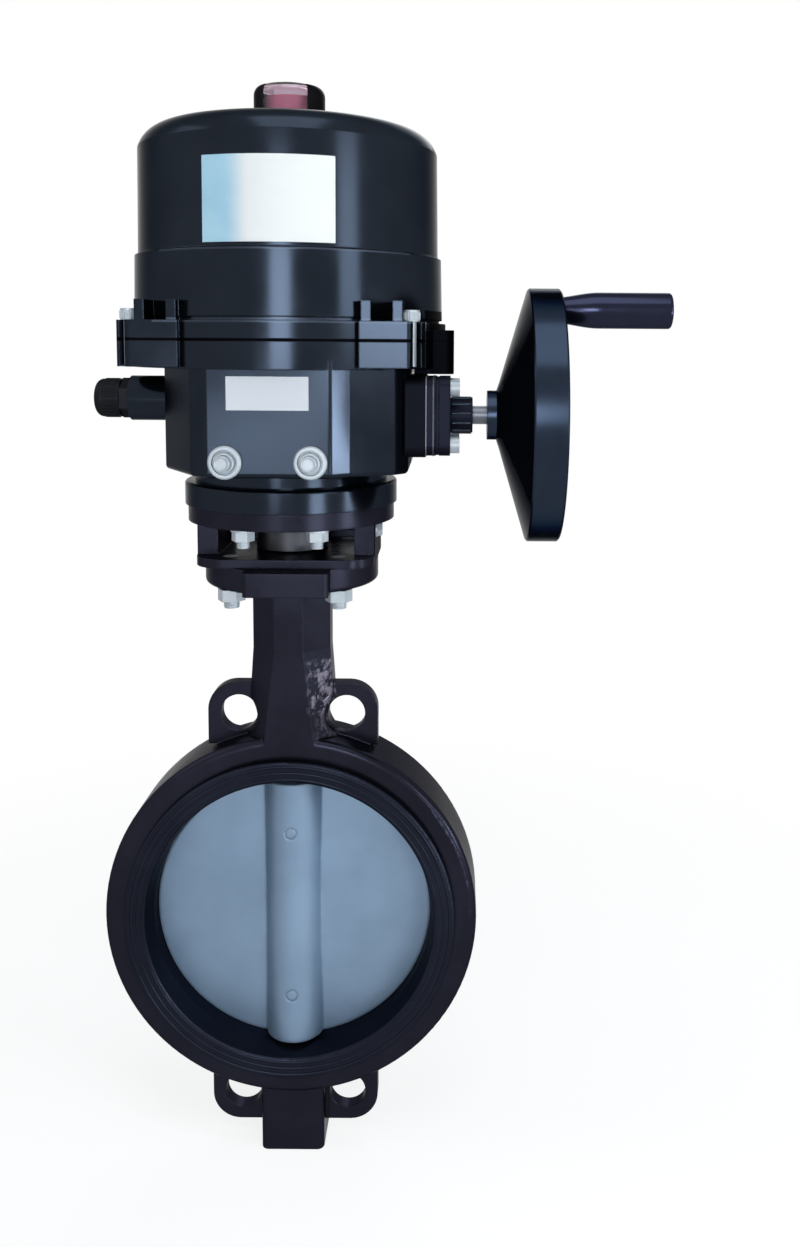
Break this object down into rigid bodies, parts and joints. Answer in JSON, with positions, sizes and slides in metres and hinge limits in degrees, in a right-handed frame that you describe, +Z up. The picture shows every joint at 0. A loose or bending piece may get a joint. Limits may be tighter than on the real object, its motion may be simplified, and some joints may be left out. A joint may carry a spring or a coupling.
{
  "type": "butterfly valve actuator",
  "caption": "Electric quarter-turn actuator with handwheel, bracket-mounted on a wafer butterfly valve; disc, worm gear and handwheel turn together.",
  "frame": {"origin": "centre of the valve bore on its mid-plane", "axes": "+Z up the stem axis, +Y along the flow axis towards the rear, +X towards the handwheel; -Y is the front"},
  "size_m": [0.3872, 0.2373, 0.7513],
  "materials": {
    "valve_coating": "black epoxy coating on ductile iron, semi-gloss",
    "actuator_enamel": "black powder coat on cast aluminium, semi-gloss",
    "seat_rubber": "black moulded rubber, satin",
    "disc_finish": "satin pale grey-blue coated casting",
    "stainless": "turned stainless steel",
    "zinc_steel": "bright zinc-plated steel",
    "dark_steel": "machined steel, oiled",
    "bronze": "machined bronze",
    "bush_plastic": "filled low-friction plastic",
    "seal_rubber": "black rubber",
    "wheel_enamel": "black enamel on cast aluminium, semi-gloss",
    "grip_plastic": "glossy black phenolic",
    "gland_plastic": "black moulded nylon",
    "dome_clear": "clear moulded window",
    "indicator_red": "red moulded plastic",
    "bare_aluminium": "machined aluminium",
    "switch_plastic": "black moulded plastic",
    "terminal_plastic": "grey moulded plastic",
    "label_white": "white film label, blank"
  },
  "bodies": {
    "frame": {"valve_body": "valve_coating", "seat_liner": "seat_rubber", "stem_bushes": "bush_plastic", "stem_seals": "seal_rubber", "bottom_plug": "zinc_steel", "mounting_bracket": "valve_coating", "valve_bolts": "zinc_steel", "valve_nuts": "zinc_steel", "base_studs": "zinc_steel", "base_nuts": "zinc_steel", "gear_case": "actuator_enamel", "top_cover": "actuator_enamel", "cover_seal": "seal_rubber", "captive_bolts": "zinc_steel", "sight_dome": "dome_clear", "worm_bearings": "dark_steel", "output_bushes": "bronze", "stop_bolts": "zinc_steel", "stop_nuts": "zinc_steel", "shaft_housing": "actuator_enamel", "housing_bolts": "zinc_steel", "gland_body": "gland_plastic", "gland_nut": "gland_plastic", "gland_seal": "seal_rubber", "deck_plate": "bare_aluminium", "limit_switches": "switch_plastic", "switch_bracket": "bare_aluminium", "motor": "bare_aluminium", "capacitor": "bare_aluminium", "terminal_block": "terminal_plastic", "heater": "bare_aluminium", "name_plate": "label_white", "data_plate": "label_white"},
    "output": {"disc": "disc_finish", "disc_pins": "stainless", "upper_stem": "stainless", "lower_stem": "stainless", "stem_key": "dark_steel", "output_sleeve": "dark_steel", "drive_bush": "dark_steel", "worm_wheel": "bronze", "indicator_shaft": "stainless", "indicator": "indicator_red", "cams": "switch_plastic"},
    "worm": {"worm_shaft": "stainless", "handwheel": "wheel_enamel", "wheel_screw": "zinc_steel", "grip_spindle": "zinc_steel"},
    "grip_body": {"grip": "grip_plastic"}
  },
  "joints": [
    {"name": "worm_turn", "type": "hinge", "parent": "frame", "child": "worm", "pos_m": [0.16, -0.049, 0.3577], "axis": [1, 0, 0], "range_deg": [-3600, 0]},
    {"name": "output_turn", "type": "hinge", "parent": "frame", "child": "output", "pos_m": [0, 0, 0.3], "axis": [0, 0, 1], "range_deg": [0, 90]},
    {"name": "grip_spin", "type": "hinge", "parent": "worm", "child": "grip_body", "pos_m": [0.215, -0.049, 0.4257], "axis": [1, 0, 0], "continuous": true}
  ],
  "couplings": [
    {"joint": "output_turn", "follows": "worm_turn", "ratio": -0.025}
  ]
}
